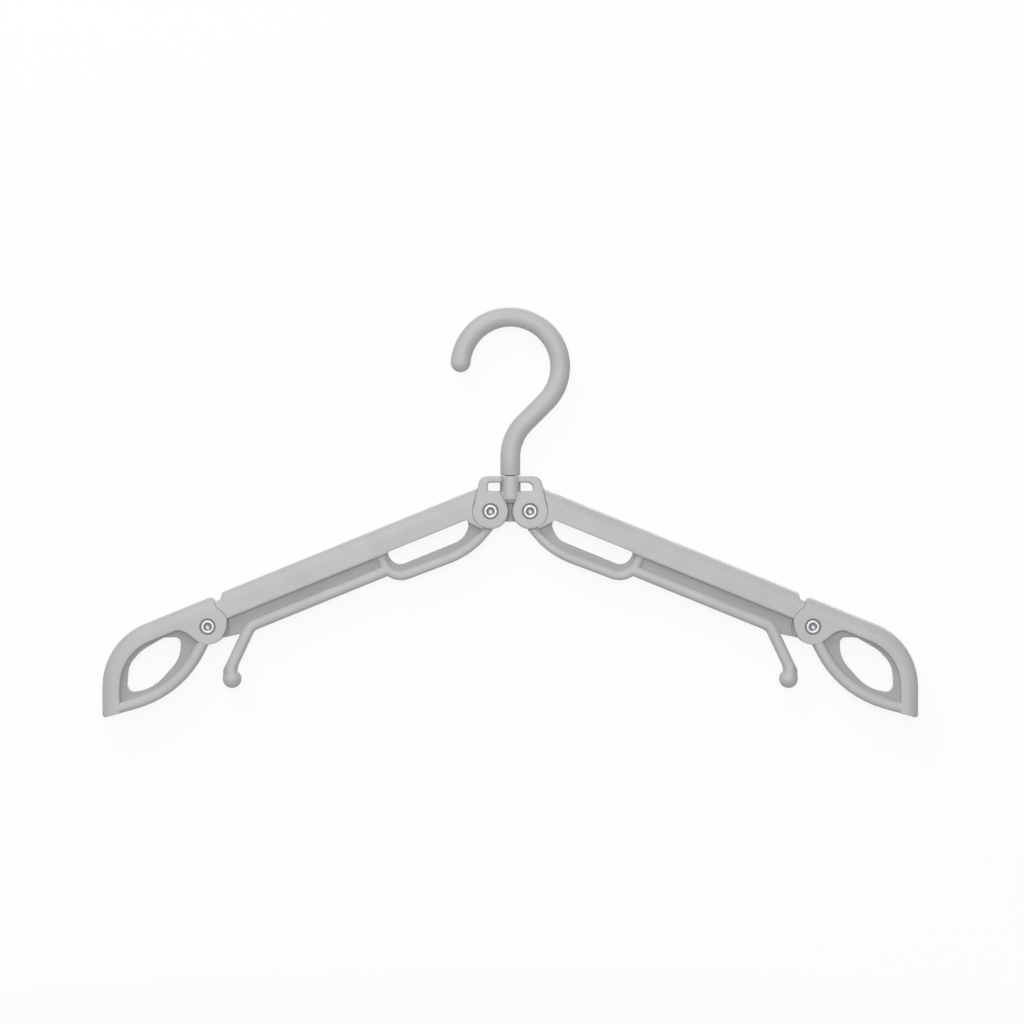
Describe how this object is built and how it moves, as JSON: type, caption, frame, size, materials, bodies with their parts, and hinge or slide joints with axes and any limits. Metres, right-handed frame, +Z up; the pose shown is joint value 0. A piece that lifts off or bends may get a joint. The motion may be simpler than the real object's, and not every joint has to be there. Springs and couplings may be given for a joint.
{
  "type": "folding clothes hanger",
  "caption": "Folding clothes hanger: swivelling hook over a hub, shoulder arms with a long loop and a strap claw, and hinged frame-shaped tips.",
  "frame": {"origin": "top of the hook's inside, where the hanger hangs on a rail", "axes": "+X along the hanger to its right shoulder, -Y towards the front, +Z up"},
  "size_m": [0.3988, 0.0126, 0.2005],
  "materials": {
    "plastic": "satin, light warm grey",
    "steel": "nickel plated"
  },
  "bodies": {
    "hook": {"hook": "plastic"},
    "hub": {"hub": "plastic", "left_hub_rivet": "steel", "right_hub_rivet": "steel"},
    "left_arm": {"left_arm": "plastic"},
    "right_arm": {"right_arm": "plastic"},
    "left_tip": {"left_tip": "plastic", "left_tip_rivet": "steel"},
    "right_tip": {"right_tip": "plastic", "right_tip_rivet": "steel"}
  },
  "joints": [
    {"name": "hook_swivel", "type": "hinge", "parent": "hook", "child": "hub", "pos_m": [0, 0, -0.073], "axis": [0, 0, 1], "continuous": true},
    {"name": "right_arm_fold", "type": "hinge", "parent": "hub", "child": "right_arm", "pos_m": [0.00965, 0, -0.09033], "axis": [0, 1, 0], "range_deg": [0, 46]},
    {"name": "left_arm_fold", "type": "hinge", "parent": "hub", "child": "left_arm", "pos_m": [-0.00965, 0, -0.09033], "axis": [0, -1, 0], "range_deg": [0, 46]},
    {"name": "right_tip_fold", "type": "hinge", "parent": "right_arm", "child": "right_tip", "pos_m": [0.1476, 0, -0.14663], "axis": [0, 1, 0], "range_deg": [0, 36]},
    {"name": "left_tip_fold", "type": "hinge", "parent": "left_arm", "child": "left_tip", "pos_m": [-0.1476, 0, -0.14663], "axis": [0, -1, 0], "range_deg": [0, 36]}
  ]
}
